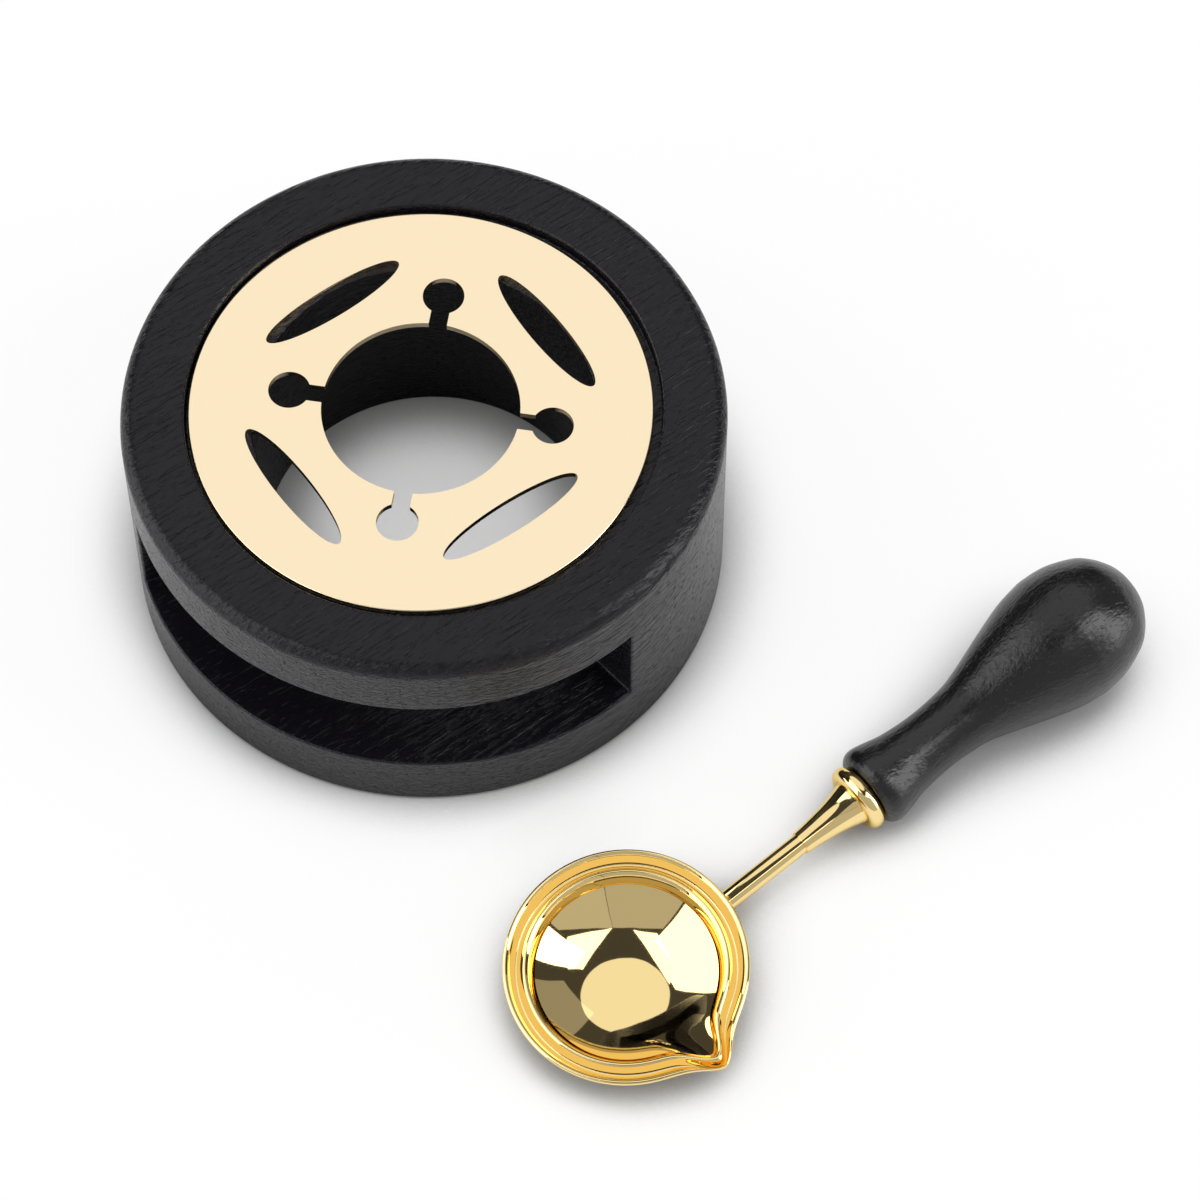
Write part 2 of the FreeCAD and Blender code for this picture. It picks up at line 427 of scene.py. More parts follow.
@dataclass(frozen=True)
class BlackWood:
    """Black paint or lacquer on wood, with open pores and a grain that shows in the sheen.

    Depths are in millimetres, scales in waves per metre and the heading in degrees.
    """

    name: str
    colour: Triple
    specular: float
    sheen: float
    pore_roughness: float
    grain_heading: float
    grain_stretch: Triple
    grain_scale: float
    grain_depth: float
    grain_swirl: float
    pore_scale: float
    pore_limits: Pair
    pore_depth: float
    wave_scale: float
    wave_depth: float
    grain_detail: float = 3.0
    pore_detail: float = 2.0
    wave_detail: float = 1.0

    def material(self) -> bpy.types.Material:
        """The finish as a material.

        Returns:
            A material with waves, grain and pores in its bump, rougher in the pores.
        """
        shader = Shader(self.name)
        surface = shader.surface.inputs
        surface["Base Color"].default_value = (*self.colour, 1)
        surface["Specular IOR Level"].default_value = self.specular
        along = shader.place(self.grain_stretch, self.grain_heading)
        specks = shader.noise(along, self.pore_scale, self.pore_detail)
        pores = shader.ramp(specks, self.pore_limits, UNIT)
        roughness = shader.ramp(pores, UNIT, (self.sheen, self.pore_roughness))
        shader.join(roughness, surface["Roughness"])
        unevenness = shader.noise(shader.place(), self.wave_scale, self.wave_detail)
        waves = shader.bump(unevenness, self.wave_depth)
        fibres = shader.noise(along, self.grain_scale, self.grain_detail, self.grain_swirl)
        grain = shader.bump(fibres, self.grain_depth, waves)
        hollow = shader.ramp(pores, UNIT, (1, 0))
        shader.join(shader.bump(hollow, self.pore_depth, grain), surface["Normal"])
        return shader.material


WARMER_PAINT = BlackWood(
    name="black_paint", colour=(0.0058, 0.0051, 0.0076),
    specular=0.27, sheen=0.23, pore_roughness=0.55,
    grain_heading=35.0, grain_stretch=(7.0, 1.0, 1.0),
    grain_scale=1250.0, grain_depth=0.26, grain_swirl=1.1,
    pore_scale=2300.0, pore_limits=(0.60, 0.68), pore_depth=0.05,
    wave_scale=160.0, wave_depth=0.10,
)
HANDLE_LACQUER = BlackWood(
    name="black_lacquer", colour=(0.0050, 0.0047, 0.0054),
    specular=0.50, sheen=0.26, pore_roughness=0.38,
    grain_heading=38.8, grain_stretch=(2.2, 1.0, 1.0),
    grain_scale=1500.0, grain_depth=0.10, grain_swirl=0.6,
    pore_scale=2600.0, pore_limits=(0.66, 0.74), pore_depth=0.03,
    wave_scale=260.0, wave_depth=0.09,
)


@dataclass(frozen=True)
class Gold:
    """Polished gold-coloured metal, with a ripple in millimetres and waves per metre."""

    name: str
    colour: Triple
    edge: Triple
    roughness: float
    ripple_depth: float
    ripple_scale: float = 260.0
    ripple_detail: float = 1.0

    def material(self) -> bpy.types.Material:
        """The finish as a material.

        Returns:
            A metal with a slight ripple in its bump.
        """
        shader = Shader(self.name)
        surface = shader.surface.inputs
        surface["Metallic"].default_value = 1.0
        surface["Base Color"].default_value = (*self.colour, 1)
        surface["Specular Tint"].default_value = (*self.edge, 1)
        surface["Roughness"].default_value = self.roughness
        ripple = shader.noise(shader.place(), self.ripple_scale, self.ripple_detail)
        shader.join(shader.bump(ripple, self.ripple_depth), surface["Normal"])
        return shader.material


PLATE_GOLD = Gold(
    name="pale_gold", colour=(0.990, 0.825, 0.565), edge=(1.0, 0.90, 0.72),
    roughness=0.10, ripple_depth=0.0015,
)
SPOON_GOLD = Gold(
    name="spoon_gold", colour=(0.950, 0.735, 0.340), edge=(1.0, 0.90, 0.62),
    roughness=0.045, ripple_depth=0.014,
)


def hand_over(
    piece: bpy.types.Object, material: bpy.types.Material, body: Body, node: str
) -> None:
    """Dress a finished piece and put it in its CAD node's place.

    Args:
        piece: The finished piece.
        material: Its finish.
        body: The body it rides on.
        node: The CAD node it stands for.
    """
    piece.data.materials.clear()
    piece.data.materials.append(material)
    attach(piece, body.value)
    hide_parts(node)
    log.info("%s: %d faces", piece.name, len(piece.data.polygons))


@dataclass
class WarmerBody:
    """The turned wooden ring with a rebate on top and a slot in front.

    Lengths are in millimetres and angles in degrees.
    """

    bore_radius: float = 24.2
    top_round: float = 2.2
    foot_break: float = 0.5
    rebate_radius: float = 33.5
    rebate_depth: float = 2.1
    slot_floor: float = 10.7
    slot_ceiling: float = 26.9
    slot_centre: float = -104.5
    slot_half: float = 57.6
    arris: float = 0.35
    arris_angle: float = 40.0
    arris_steps: int = 3
    slot_steps: int = 128
    wall_steps: int = 208
    round_steps: int = 8

    def section(self) -> list[Pair]:
        """The ring's closed outline.

        Returns:
            Pairs of radius and height, upward on the outside and downward in the bore.
        """
        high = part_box("warmer_body")[1] / MM
        radius, height = high.x, high.z
        shoulder = (radius - self.top_round, height - self.top_round)
        ledge = height - self.rebate_depth
        return [
            (radius - self.foot_break, 0),
            (radius, self.foot_break),
            (radius, self.slot_floor),
            (radius, self.slot_ceiling),
            *arc_points(shoulder, self.top_round, 0, 90, self.round_steps),
            (self.rebate_radius, height),
            (self.rebate_radius, ledge),
            (self.bore_radius, ledge),
            (self.bore_radius, self.slot_ceiling),
            (self.bore_radius, self.slot_floor),
            (self.bore_radius, 0),
        ]

    def turns(self) -> list[float]:
        """Angles round the ring.

        Returns:
            The angles in radians, with the slot's stretch first.
        """
        sweep = 2 * self.slot_half
        first = self.slot_centre - self.slot_half
        opening = [first + sweep * step / self.slot_steps for step in range(self.slot_steps)]
        last = first + sweep
        wall = [last + (360 - sweep) * step / self.wall_steps for step in range(self.wall_steps)]
        return [math.radians(angle) for angle in (*opening, *wall)]

    def build(self) -> bpy.types.Object:
        """The ring's mesh.

        Returns:
            The ring, with the slot left open between its two walls.
        """
        section = self.section()
        turns = self.turns()
        size = len(section)
        corners = [
            (r * math.cos(turn), r * math.sin(turn), z) for turn in turns for r, z in section
        ]
        outer = section.index((section[1][0], self.slot_floor))
        inner = section.index((self.bore_radius, self.slot_ceiling))
        faces = []
        for step in range(len(turns)):
            here = step * size
            there = (step + 1) % len(turns) * size
            for edge in range(size):
                after = (edge + 1) % size
                if step < self.slot_steps and edge in (outer, inner):
                    continue
                faces.append([here + edge, there + edge, there + after, here + after])
            if step < self.slot_steps:
                faces.append([here + outer, there + outer, there + inner + 1, here + inner + 1])
                faces.append([here + inner, there + inner, there + outer + 1, here + outer + 1])
        first = 0
        last = self.slot_steps * size
        faces.append([first + outer, first + inner + 1, first + inner, first + outer + 1])
        faces.append([last + outer, last + outer + 1, last + inner, last + inner + 1])
        return mesh_object("wooden_warmer", corners, faces)

    def make(self) -> None:
        """Build, soften and dress the warmer."""
        ring = self.build()
        round_edges(ring, self.arris, self.arris_steps, self.arris_angle)
        hand_over(ring, WARMER_PAINT.material(), Body.WARMER, "warmer_body")


class NodeGraph:
    """A Geometry Nodes tree that pierces a plate with a repeated pattern."""

    def __init__(self, name: str) -> None:
        """Start a tree with a geometry input and output.

        Args:
            name: The tree's name.
        """
        self.tree = bpy.data.node_groups.new(name, "GeometryNodeTree")
        sockets = self.tree.interface
        for side in ("INPUT", "OUTPUT"):
            sockets.new_socket("Geometry", in_out=side, socket_type="NodeSocketGeometry")
        self.start = self.tree.nodes.new("NodeGroupInput")
        self.end = self.tree.nodes.new("NodeGroupOutput")
        self.keys: dict[str, str] = {}

    def option(self, name: str, kind: str) -> Socket:
        """Add an input to the tree.

        Args:
            name: The input's name.
            kind: The input's socket type.

        Returns:
            The socket inside the tree.
        """
        item = self.tree.interface.new_socket(name, in_out="INPUT", socket_type=kind)
        self.keys[name] = item.identifier
        return self.start.outputs[name]

    def add(self, kind: str, inputs: dict[str | int, object], **values: object) -> bpy.types.Node:
        """Add a node and fill its inputs.

        Args:
            kind: The node's type name.
            inputs: A socket to join or a constant for each input, by name or number.
            **values: Properties of the node to set first.

        Returns:
            The node.
        """
        node = self.tree.nodes.new(kind)
        for key, value in values.items():
            setattr(node, key, value)
        for key, value in inputs.items():
            if isinstance(value, Socket):
                self.tree.links.new(value, node.inputs[key])
            else:
                node.inputs[key].default_value = value
        return node

    def join_all(self, sources: list[Socket]) -> Socket:
        """Join several geometries into one.

        Args:
            sources: The sockets with the geometries.

        Returns:
            The socket with all of them.
        """
        node = self.tree.nodes.new("GeometryNodeJoinGeometry")
        for source in sources:
            self.tree.links.new(source, node.inputs[0])
        return node.outputs[0]


@dataclass
class GratePlate:
    """The loose round plate with a pattern of holes, lying in the warmer's rebate.

    Lengths are in millimetres and angles in degrees.
    """

    centre_hole_radius: float = 13.95
    keyhole_radius: float = 2.95
    keyhole_pitch: float = 18.7
    keyhole_neck: float = 2.6
    leaf_half_length: float = 11.3
    leaf_half_width: float = 2.4
    leaf_pitch: float = 21.65
    pattern_angle: float = -9.0
    pattern_count: int = 4
    edge_round: float = 0.25
    round_steps: int = 4
    rim_steps: int = 256
    hole_steps: int = 96
    least_face: float = 0.004
    cut_depth_share: float = 4.0
    crease_angle: float = 35.0

    def disc(self) -> bpy.types.Object:
        """The plate before it is pierced.

        Returns:
            A round plate at its own height, centred on the frame's upright axis.
        """
        low, high = (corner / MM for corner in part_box("grate_plate"))
        radius = (high.x - low.x) / 2
        shy = radius - self.edge_round
        outline = [
            (0, low.z),
            *arc_points((shy, low.z + self.edge_round), self.edge_round, -90, 0, self.round_steps),
            *arc_points((shy, high.z - self.edge_round), self.edge_round, 0, 90, self.round_steps),
            (0, high.z),
        ]
        return turned("pierced_grate", outline, Axis.UPRIGHT, self.rim_steps)

    def around(
        self, graph: NodeGraph, shape: Socket, pitch: float, turn: Socket, count: Socket
    ) -> Socket:
        """Copies of a cutter evenly spaced round the plate's axis.

        Args:
            graph: The tree to add to.
            shape: The cutter, with its length across the radius.
            pitch: The radius that the cutters lie on, in millimetres.
            turn: The angle of the first cutter.
            count: How many cutters there are.

        Returns:
            The socket with the copies, as instances.
        """
        spot = graph.add(
            "GeometryNodeTransform", {"Geometry": shape, "Translation": (pitch * MM, 0, 0)}
        )
        points = graph.add("GeometryNodePoints", {"Count": count})
        index = graph.add("GeometryNodeInputIndex", {})
        share = graph.add("ShaderNodeMath", {0: index.outputs[0], 1: count}, operation="DIVIDE")
        angle = graph.add(
            "ShaderNodeMath", {0: share.outputs[0], 1: 2 * math.pi, 2: turn},
            operation="MULTIPLY_ADD",
        )
        spin = graph.add("ShaderNodeCombineXYZ", {"Z": angle.outputs[0]})
        copies = graph.add(
            "GeometryNodeInstanceOnPoints",
            {
                "Points": points.outputs[0],
                "Instance": spot.outputs[0],
                "Rotation": spin.outputs[0],
            },
        )
        return copies.outputs[0]

    def cylinder(self, graph: NodeGraph, radius: float, depth: Socket) -> Socket:
        """A round cutter.

        Args:
            graph: The tree to add to.
            radius: The cutter's radius, in millimetres.
            depth: The cutter's length.

        Returns:
            The socket with the cutter's mesh.
        """
        node = graph.add(
            "GeometryNodeMeshCylinder",
            {"Vertices": self.hole_steps, "Radius": radius * MM, "Depth": depth},
        )
        return node.outputs["Mesh"]

    def pattern(self) -> NodeGraph:
        """The tree that cuts the centre hole, the keyholes and the leaves.

        Returns:
            The tree, with its inputs still to be set on the modifier.
        """
        graph = NodeGraph("grate_pattern")
        count = graph.option("Pattern Count", "NodeSocketInt")
        turn = graph.option("Pattern Turn", "NodeSocketFloat")
        leaf_turn = graph.option("Leaf Turn", "NodeSocketFloat")
        depth = graph.option("Cut Depth", "NodeSocketFloat")
        lift = graph.option("Cut Middle", "NodeSocketVector")
        finish = graph.option("Finish", "NodeSocketMaterial")
        centre = self.cylinder(graph, self.centre_hole_radius, depth)
        end = self.cylinder(graph, self.keyhole_radius, depth)
        ends = self.around(graph, end, self.keyhole_pitch, turn, count)
        neck_length = self.keyhole_pitch - self.centre_hole_radius / 2
        size = graph.add(
            "ShaderNodeCombineXYZ",
            {"X": neck_length * MM, "Y": self.keyhole_neck * MM, "Z": depth},
        )
        neck = graph.add("GeometryNodeMeshCube", {"Size": size.outputs[0]})
        neck_middle = self.keyhole_pitch - neck_length / 2
        necks = self.around(graph, neck.outputs["Mesh"], neck_middle, turn, count)
        leaf_scale = (self.leaf_half_width, self.leaf_half_length, 1)
        circle = self.cylinder(graph, 1, depth)
        oval = graph.add("GeometryNodeTransform", {"Geometry": circle, "Scale": leaf_scale})
        leaves = self.around(graph, oval.outputs[0], self.leaf_pitch, leaf_turn, count)
        cutters = graph.join_all([centre, ends, necks, leaves])
        raised = graph.add("GeometryNodeTransform", {"Geometry": cutters, "Translation": lift})
        solid = graph.add("GeometryNodeRealizeInstances", {"Geometry": raised.outputs[0]})
        plate = graph.start.outputs["Geometry"]
        cut = graph.add(
            "GeometryNodeMeshBoolean",
            {"Mesh 1": plate, "Mesh 2": solid.outputs[0], "Self Intersection": True},
            operation="DIFFERENCE", solver="EXACT",
        )
        whole = graph.add("GeometryNodeRealizeInstances", {"Geometry": cut.outputs["Mesh"]})
        dressed = graph.add(
            "GeometryNodeSetMaterial", {"Geometry": whole.outputs[0], "Material": finish}
        )
        graph.tree.links.new(dressed.outputs[0], graph.end.inputs["Geometry"])
        return graph

    def pierce(self, disc: bpy.types.Object, material: bpy.types.Material) -> None:
        """Cut the pattern into the plate.

        Args:
            disc: The plate before it is pierced.
            material: The plate's finish.
        """
        low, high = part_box("grate_plate")
        graph = self.pattern()
        modifier = disc.modifiers.new("pattern", "NODES")
        modifier.node_group = graph.tree
        turn = math.radians(self.pattern_angle)
        values = {
            "Pattern Count": self.pattern_count,
            "Pattern Turn": turn,
            "Leaf Turn": turn + math.pi / self.pattern_count,
            "Cut Depth": self.cut_depth_share * (high.z - low.z),
            "Cut Middle": (0.0, 0.0, (high.z + low.z) / 2),
            "Finish": material,
        }
        for name, value in values.items():
            modifier[graph.keys[name]] = value
        finish_mesh(disc)
        drop_slivers(disc, self.least_face)

    def make(self) -> None:
        """Build, pierce and dress the plate and lay it in its place."""
        material = PLATE_GOLD.material()
        plate = self.disc()
        self.pierce(plate, material)
        low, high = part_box("grate_plate")
        middle = (low + high) / 2
        plate.data.transform(Matrix.Translation((middle.x, middle.y, 0)))
        plate.data.set_sharp_from_angle(angle=math.radians(self.crease_angle))
        hand_over(plate, material, Body.GRATE, "grate_plate")


@dataclass
class MeltingSpoon:
    """The melting spoon: bowl, stem, ferrule and handle on one axis.

    Lengths are in millimetres and angles in degrees, but the spout's spread is in radians.
    Places along the axis count from the bowl's middle. The tables give outline points as
    shares of the main sizes.
    """

    x: float = 28.42
    y: float = -71.55
    heading: float = 38.79
    roll: float = 4.0
    rim_radius: float = 17.1
    rim_rise: float = 6.1
    bowl_height: float = 7.9
    sheet: float = 0.9
    dish_radius: float = 20.9
    dish_edge_angle: float = 39.5
    spout_reach: float = 4.5
    spout_lip_share: float = 0.65
    spout_ease_share: float = 0.84
    spout_lift: float = 1.4
    spout_lift_shares: Pair = (0.736, 0.9)
    spout_angle: float = -85.8
    spout_spread: float = 0.18
    spout_sharpness: float = 1.6
    spout_start: float = 3.6
    spout_full: float = 5.6
    rod_radius: float = 1.5
    rod_start: float = 9.0
    tang_end: float = 58.3
    ferrule_start: float = 31.3
    ferrule_tip_radius: float = 1.72
    ferrule_neck_radius: float = 3.3
    ferrule_neck: float = 40.6
    bead_radius: float = 1.3
    bead_ring_radius: float = 3.75
    bead_angles: Pair = (-110.0, 90.0)
    handle_start: float = 43.24
    handle_end: float = 92.57
    handle_front_radius: float = 4.9
    grip_radius: float = 9.95
    grip_contact_share: float = 0.739
    dish_steps: int = 28
    ring_steps: int = 360
    turn_steps: int = 128
    outline_steps: int = 4
    bead_steps: int = 20
    bowl_crease: float = 20.0
    turned_crease: float = 40.0

    UNDER_SHARES: ClassVar[tuple[Pair, ...]] = (
        (0.807, 0.671), (0.854, 0.684), (0.901, 0.684),
        (0.942, 0.728), (0.971, 0.810), (0.991, 0.899),
    )
    LIP_SHARES: ClassVar[tuple[Pair, ...]] = (
        (1.000, 0.956), (0.994, 0.987), (0.982, 1.000), (0.971, 0.996), (0.956, 0.968),
        (0.942, 0.918), (0.924, 0.848), (0.906, 0.797), (0.895, 0.787), (0.886, 0.791),
        (0.868, 0.823), (0.851, 0.873), (0.836, 0.911), (0.822, 0.924), (0.807, 0.911),
        (0.792, 0.880), (0.775, 0.823), (0.757, 0.753),
    )
    FLARE_SHARES: ClassVar[tuple[Pair, ...]] = (
        (0, 0), (0.15, 0.07), (0.35, 0.21), (0.55, 0.37), (0.72, 0.56), (0.88, 0.80), (1, 1),
    )
    GRIP_SHARES: ClassVar[tuple[Pair, ...]] = (
        (0.014, 0.572), (0.036, 0.604), (0.070, 0.580), (0.143, 0.500), (0.251, 0.464),
        (0.360, 0.500), (0.431, 0.587), (0.540, 0.766), (0.648, 0.931), (0.718, 0.989),
        (0.755, 1.000), (0.826, 0.960), (0.899, 0.826), (0.934, 0.704), (0.962, 0.548),
        (0.985, 0.350),
    )

    def contact(self) -> float:
        """Distance along the axis from the bowl's middle to where the grip touches the table."""
        return self.handle_start + self.grip_contact_share * (self.handle_end - self.handle_start)

    def foot(self) -> float:
        """Height of the bowl's lowest point over the spoon's axis, before the spoon lies down."""
        return self.rim_rise - self.bowl_height

    def pitch(self) -> float:
        """How far the spoon's axis rises from bowl to grip.

        Returns:
            The angle in radians at which bowl and grip both touch the table.
        """
        centre = (self.foot() + self.dish_radius) * math.cos(math.radians(self.roll))
        rise = centre + self.grip_radius
        reach = math.hypot(rise, self.contact())
        return math.acos(self.dish_radius / reach) - math.atan2(self.contact(), rise)

    def dish(self, radius: float) -> list[Pair]:
        """Rings up one side of the dish.

        Args:
            radius: The radius of that side's sphere.

        Returns:
            Each ring's radius and height.
        """
        centre = self.foot() + self.dish_radius
        edge = math.radians(self.dish_edge_angle)
        turns = [edge * step / self.dish_steps for step in range(1, self.dish_steps + 1)]
        return [(radius * math.sin(turn), centre - radius * math.cos(turn)) for turn in turns]

    def brim(self, shares: tuple[Pair, ...]) -> list[Pair]:
        """Rings along a stretch of the brim.

        Args:
            shares: Outline points, as shares of the rim radius and of the bowl's height.

        Returns:
            Each ring's radius and height.
        """
        rim, foot, height = self.rim_radius, self.foot(), self.bowl_height
        points = [(rim * out, foot + height * up) for out, up in shares]
        return smooth_chain(points, self.outline_steps)

    def outside(self) -> list[Pair]:
        """Radius and height of the rings up the bowl's outside, to below the lip."""
        return self.dish(self.dish_radius) + self.brim(self.UNDER_SHARES)

    def wall(self) -> list[Pair]:
        """Rings up the outside, over the lip, the groove and the ridge, and down the inside."""
        inside = self.dish(self.dish_radius - self.sheet)[::-1]
        return self.outside() + self.brim(self.LIP_SHARES) + inside

    def brim_ease(self, radius: float, first_share: float, last_share: float) -> float:
        """0 up to one share of the rim radius, then evenly up to 1 at another."""
        return max(0, min(1, (radius / self.rim_radius - first_share) / (last_share - first_share)))

    def spout_shift(self, turn: float, radius: float, height: float) -> Pair:
        """How far a point of a ring is drawn out and lifted at the spout.

        Args:
            turn: The angle from the spout, in radians.
            radius: The ring's radius.
            height: The ring's height over the spoon's axis.

        Returns:
            The pull and the lift in millimetres, nothing low in the dish and less at the lip.
        """
        away = min(turn, 2 * math.pi - turn)
        rise = (height - self.foot() - self.spout_start) / (self.spout_full - self.spout_start)
        rise = max(0, min(1, rise))
        beside = math.exp(-(away / self.spout_spread) ** self.spout_sharpness)
        near = rise * rise * (3 - 2 * rise) * beside
        ease = self.brim_ease(radius, self.spout_ease_share, 1)
        pull = self.spout_reach * (1 - (1 - self.spout_lip_share) * ease)
        lift = self.spout_lift * (1 - self.brim_ease(radius, *self.spout_lift_shares))
        return near * pull, near * lift

    def bowl(self) -> bpy.types.Object:
        """The pressed dish with its ridged brim and its spout.

        Returns:
            The bowl, in the spoon's own axes.
        """
        spout = math.radians(self.spout_angle)
        rings = []
        for radius, height in self.wall():
            ring = []
            for turn in ring_turns(self.ring_steps):
                pull, lift = self.spout_shift(turn, radius, height)
                reach = radius + pull
                angle = turn + spout
                ring.append((reach * math.cos(angle), reach * math.sin(angle), height + lift))
            rings.append(ring)
        start, end = (0, 0, self.foot()), (0, 0, self.foot() + self.sheet)
        return ring_loft("spoon_bowl_shell", rings, start, end, Axis.UPRIGHT)

    def bowl_side(self, height: float) -> float:
        """The bowl's outside at a height.

        Args:
            height: The height over the spoon's axis.

        Returns:
            The outside's radius there.
        """
        wall = self.outside()
        for (low_radius, low), (high_radius, high) in zip(wall, wall[1:]):
            if low <= height <= high:
                return low_radius + (high_radius - low_radius) * (height - low) / (high - low)
        return wall[-1][0]

    def rod(self) -> bpy.types.Object:
        """The round stem.

        Returns:
            The stem, fitted to the bowl's side and long enough to run into the handle.
        """
        first, last = [], []
        for turn in ring_turns(self.turn_steps):
            side, rise = self.rod_radius * math.cos(turn), self.rod_radius * math.sin(turn)
            wall = math.sqrt(max(0, self.bowl_side(rise) ** 2 - side ** 2))
            first.append((side, rise, max(self.rod_start, wall)))
            last.append((side, rise, self.tang_end))
        start, end = (0, 0, self.rod_start), (0, 0, self.tang_end)
        return ring_loft("spoon_stem", [first, last], start, end, Axis.ALONG)

    def ferrule(self) -> bpy.types.Object:
        """The bell-shaped sleeve.

        Returns:
            The sleeve, with a bead at its end against the handle.
        """
        length = self.ferrule_neck - self.ferrule_start
        flare = self.ferrule_neck_radius - self.ferrule_tip_radius
        bell = smooth_chain(list(self.FLARE_SHARES), self.outline_steps)
        tip, start = self.ferrule_tip_radius, self.ferrule_start
        outline = [(tip + flare * out, start + length * run) for run, out in bell]
        bead_middle = (self.bead_ring_radius, self.handle_start - self.bead_radius)
        bead = arc_points(bead_middle, self.bead_radius, *self.bead_angles, self.bead_steps)
        closed = [(0, start), *outline, *bead, (0, self.handle_start)]
        return turned("spoon_ferrule", closed, Axis.ALONG, self.turn_steps)

    def handle(self) -> bpy.types.Object:
        """The turned pear-shaped grip.

        Returns:
            The grip, in the spoon's own axes.
        """
        length = self.handle_end - self.handle_start
        front = (0, self.handle_front_radius / self.grip_radius)
        chain = smooth_chain([front, *self.GRIP_SHARES, (1, 0)], self.outline_steps)
        outline = [(self.grip_radius * out, self.handle_start + length * run) for run, out in chain]
        return turned("spoon_grip", [(0, self.handle_start), *outline], Axis.ALONG, self.turn_steps)

    def lay_down(self, piece: bpy.types.Object) -> None:
        """Move a piece from the spoon's own axes to its place beside the warmer.

        Args:
            piece: The piece.
        """
        pitch = self.pitch()
        lift = self.grip_radius * math.cos(pitch) - self.contact() * math.sin(pitch)
        place = Matrix.Translation((self.x * MM, self.y * MM, lift * MM))
        heading = Matrix.Rotation(math.radians(self.heading), 4, "Z")
        lean = Matrix.Rotation(-pitch, 4, "Y") @ Matrix.Rotation(math.radians(self.roll), 4, "X")
        piece.data.transform(place @ heading @ lean)

    def make(self) -> None:
        """Build and dress the spoon's four pieces."""
        gold = SPOON_GOLD.material()
        lacquer = HANDLE_LACQUER.material()
        pieces = (
            (self.bowl(), gold, "gold_spoon", "spoon_bowl", self.bowl_crease),
            (self.rod(), gold, "gold_spoon", "stem_rod", self.turned_crease),
            (self.ferrule(), gold, "gold_spoon", "stem_ferrule", self.turned_crease),
            (self.handle(), lacquer, "black_lacquered_wood", "spoon_handle", self.turned_crease),
        )
        for piece, material, slot, node, crease in pieces:
            self.lay_down(piece)
            piece.data.set_sharp_from_angle(angle=math.radians(crease))
            hand_over(piece, material, Body.SPOON, node)


@dataclass(frozen=True)
class Softbox:
    """One large soft lamp.

    It faces the set from an azimuth and an elevation in degrees, and may be slid sideways in its
    own plane. A lamp at no elevation is an upright wall, whose lower half is below the floor.
    Lengths are in metres.
    """

    name: str
    azimuth: float
    elevation: float
    distance: float
    width: float
    height: float
    radiance: float
    slide: float = 0.0
    outline: Lamp = Lamp.PANEL

    def light(self) -> None:
        """Hang the lamp."""
        data = bpy.data.lights.new(self.name, "AREA")
        data.shape = self.outline.value
        data.size = self.width
        data.size_y = self.height
        area = self.width * self.height * (math.pi / 4 if self.outline is Lamp.ROUND else 1)
        data.energy = self.radiance * area * math.pi
        lamp = bpy.data.objects.new(self.name, data)
        away = toward(self.azimuth, self.elevation)
        side = toward(self.azimuth + 90, 0)
        lamp.location = away * self.distance + side * self.slide
        lamp.rotation_euler = away.to_track_quat("Z", "Y").to_euler()
        bpy.context.scene.collection.objects.link(lamp)


@dataclass(frozen=True)
class Reflector:
    """A glowing board of any outline, hung out of the camera's view.

    Its corners are azimuths and elevations in degrees, and its lengths are in metres.
    """

    name: str
    corners: tuple[Pair, ...]
    radiance: float
    distance: float = 1.9
    seen_from: Triple = (0.028, -0.072, 0.010)

    def hang(self) -> None:
        """Hang the board where the spoon's bowl sees its corners."""
        eye = Vector(self.seen_from)
        points = [tuple((eye + toward(*corner) * self.distance) / MM) for corner in self.corners]
        board = mesh_object(self.name, points, [list(range(len(points)))])
        shader = Shader(self.name)
        glow = shader.add("ShaderNodeEmission")
        glow.inputs["Strength"].default_value = self.radiance
        shader.join(glow.outputs[0], shader.output.inputs["Surface"])
        board.data.materials.append(shader.material)


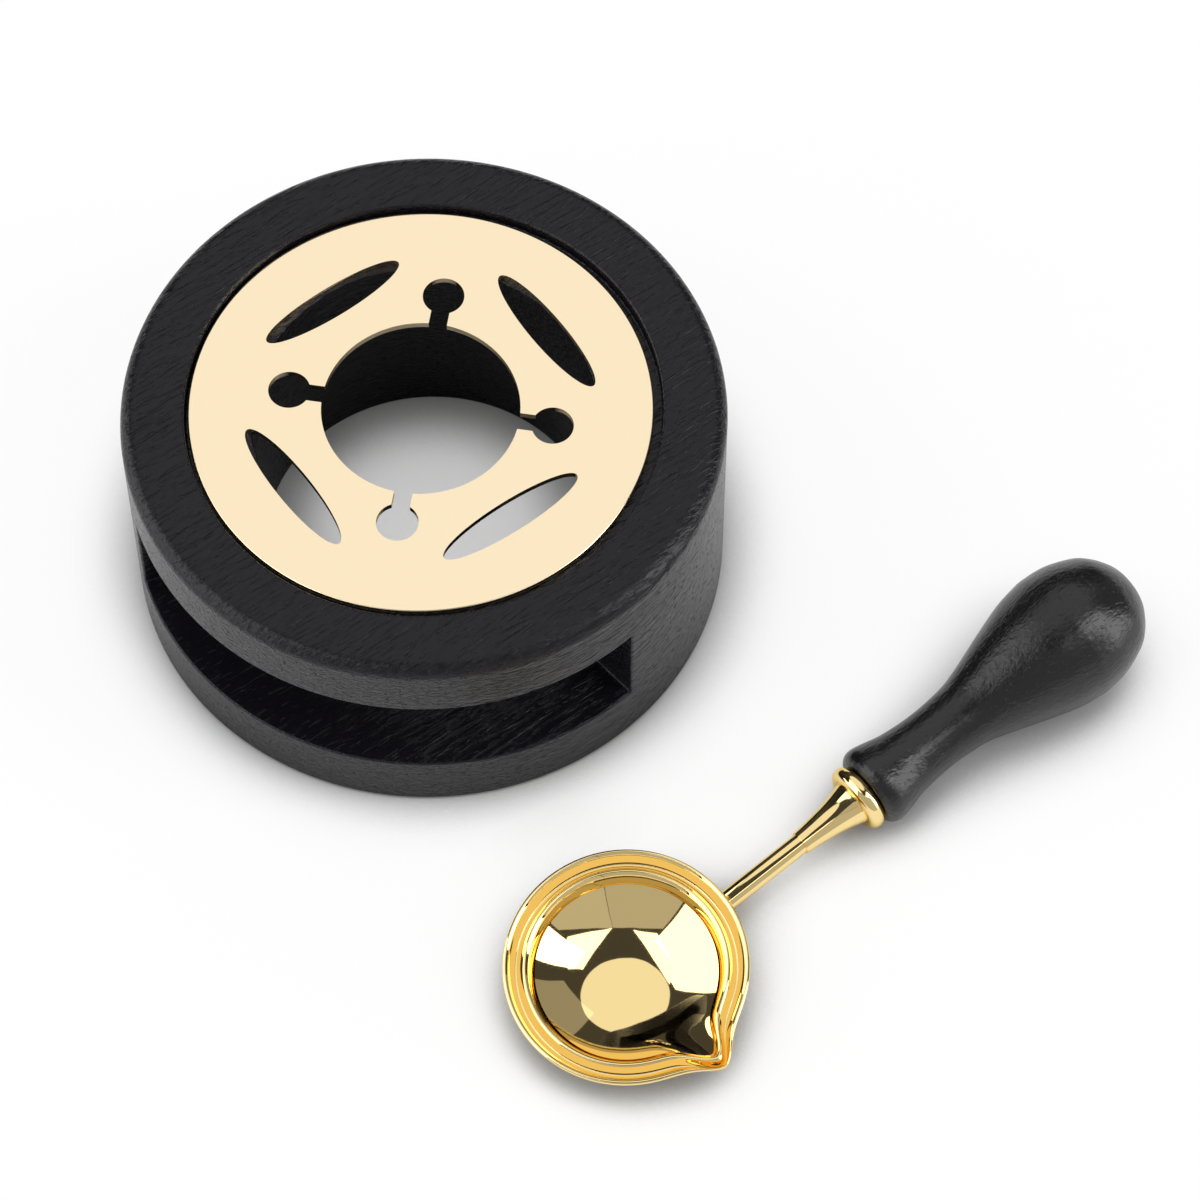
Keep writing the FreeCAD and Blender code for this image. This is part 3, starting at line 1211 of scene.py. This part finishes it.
@dataclass
class Studio:
    """The pale floor, the soft light and the camera, with lengths in metres.

    The lens and the sensor are in millimetres and the tilt is in degrees.
    """

    floor_half: float = 4.0
    floor_colour: float = 0.95
    # Floor colour right at the foot of the set: painted shade.
    painted_shade_colour: float = 0.30
    floor_glow: float = 0.88
    foot_reach: float = 0.016
    foot_samples: int = 10
    foot_limits: Pair = (0.45, 0.9)
    # Glow left right at the foot of the set: painted shadow.
    painted_foot_shadow_glow: float = 0.08
    painted_shade_limits: Pair = (0.45, 0.85)
    well_reach: float = 0.05
    well_samples: int = 4
    well_limits: Pair = (0, 0.45)
    # Glow left deep in the warmer's bore: painted shade.
    painted_well_shade_glow: float = 0.10
    mirror_limits: Pair = (0.5, 1)
    world_level: float = 0.06
    camera_place: Triple = (0.02462, -0.374925, 0.654569)
    camera_tilt: float = 29.13
    lens: float = 155.07
    sensor: float = 36.0

    LAMPS: ClassVar[tuple[Softbox, ...]] = (
        Softbox("back_softbox", azimuth=92, elevation=66, distance=1.5, width=1.9, height=2.0,
                radiance=0.92, outline=Lamp.ROUND),
        Softbox("left_softbox", azimuth=213, elevation=0, distance=1.0, width=2.1, height=4.4,
                radiance=2.25, slide=-0.90),
        Softbox("right_softbox", azimuth=-29, elevation=0, distance=1.0, width=0.54, height=3.9,
                radiance=3.80, slide=0.39),
        Softbox("front_right_wall", azimuth=-90, elevation=0, distance=1.0, width=2.07, height=3.1,
                radiance=0.48, slide=1.32),
        Softbox("front_left_wall", azimuth=-90, elevation=0, distance=1.0, width=1.37, height=3.1,
                radiance=0.44, slide=-0.41),
        Softbox("back_right_wall", azimuth=50, elevation=0, distance=1.2, width=0.95, height=2.5,
                radiance=0.26, slide=-0.26),
    )

    REFLECTORS: ClassVar[tuple[Reflector, ...]] = (
        Reflector("right_board", radiance=2.25,
                  corners=((-21.7, 40.3), (-73.6, 58.0), (6.7, 59.2), (9.7, 46.7))),
        Reflector("left_board", radiance=2.25,
                  corners=((-105.9, 59.6), (-138.5, 52.7), (175.4, 50.7), (152.4, 50.5))),
    )

    def floor(self) -> None:
        """A pale floor."""
        half = self.floor_half / MM
        corners = [(-half, -half, 0), (half, -half, 0), (half, half, 0), (-half, half, 0)]
        plane = mesh_object("floor", corners, [[0, 1, 2, 3]])
        plane.data.materials.append(self.floor_material())

    def floor_material(self) -> bpy.types.Material:
        """A near-white finish that keeps the set's shadow.

        Returns:
            A matt material painted darker at the foot of the set (painted shade), mixed with a glow
            for the rays that see it as a backdrop, dimmed near the set and in the bore (painted
            shadow).
        """
        shader = Shader("floor")
        shader.surface.inputs["Roughness"].default_value = 1.0
        shader.surface.inputs["Specular IOR Level"].default_value = 0.0
        glow = shader.add("ShaderNodeEmission")
        mix = shader.add("ShaderNodeMixShader")
        near = shader.openness(self.foot_reach, self.foot_samples)
        wide = shader.openness(self.well_reach, self.well_samples)
        # Painted shadow: the backdrop glow is dimmed where the set stands close.
        foot = shader.ramp(near, self.foot_limits, (self.painted_foot_shadow_glow, 1))
        # Painted shade: the floor's colour is darkened where the set stands close, read from the
        # openness.
        painted_foot_shade = shader.ramp(near, self.painted_shade_limits, (self.painted_shade_colour, self.floor_colour))
        shader.join(painted_foot_shade, shader.surface.inputs["Base Color"])
        # Painted shade: the glow is dimmed where the bore closes round the floor.
        well = shader.ramp(wide, self.well_limits, (self.painted_well_shade_glow, self.floor_glow))
        # Painted shade: reflections see the glow only where the floor is open.
        painted_shade_mirror_glow = shader.ramp(wide, self.mirror_limits, (0, self.floor_glow))
        path = shader.add("ShaderNodeLightPath").outputs
        seen = shader.product(path[Ray.CAMERA.value], shader.product(foot, well))
        for ray in (Ray.GLOSSY, Ray.TRANSMISSION):
            seen = shader.larger(seen, shader.product(path[ray.value], painted_shade_mirror_glow))
        shader.join(seen, mix.inputs[0])
        shader.join(shader.surface.outputs[0], mix.inputs[1])
        shader.join(glow.outputs[0], mix.inputs[2])
        shader.join(mix.outputs[0], shader.output.inputs["Surface"])
        return shader.material

    def world(self) -> None:
        """An even, dim room."""
        world = bpy.data.worlds.new("room")
        world.use_nodes = True
        bpy.context.scene.world = world
        background = world.node_tree.nodes["Background"]
        background.inputs["Color"].default_value = (1, 1, 1, 1)
        background.inputs["Strength"].default_value = self.world_level

    def camera(self) -> None:
        """The camera at the photo's angle."""
        data = bpy.data.cameras.new("camera")
        data.lens = self.lens
        data.sensor_width = self.sensor
        camera = bpy.data.objects.new("camera", data)
        camera.location = self.camera_place
        camera.rotation_euler = (math.radians(self.camera_tilt), 0, 0)
        bpy.context.scene.collection.objects.link(camera)
        bpy.context.scene.camera = camera

    def set_up(self) -> None:
        """Put up floor, room, lamps, boards and camera."""
        self.floor()
        self.world()
        for lamp in self.LAMPS:
            lamp.light()
        for board in self.REFLECTORS:
            board.hang()
        self.camera()
        bpy.context.scene.view_settings.view_transform = "Standard"


def main() -> None:
    """Build the set, dress it and light it."""
    logging.basicConfig(level=logging.INFO, format="%(name)s %(message)s")
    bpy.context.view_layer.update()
    WarmerBody().make()
    GratePlate().make()
    MeltingSpoon().make()
    Studio().set_up()


if __name__ == "__main__":
    main()
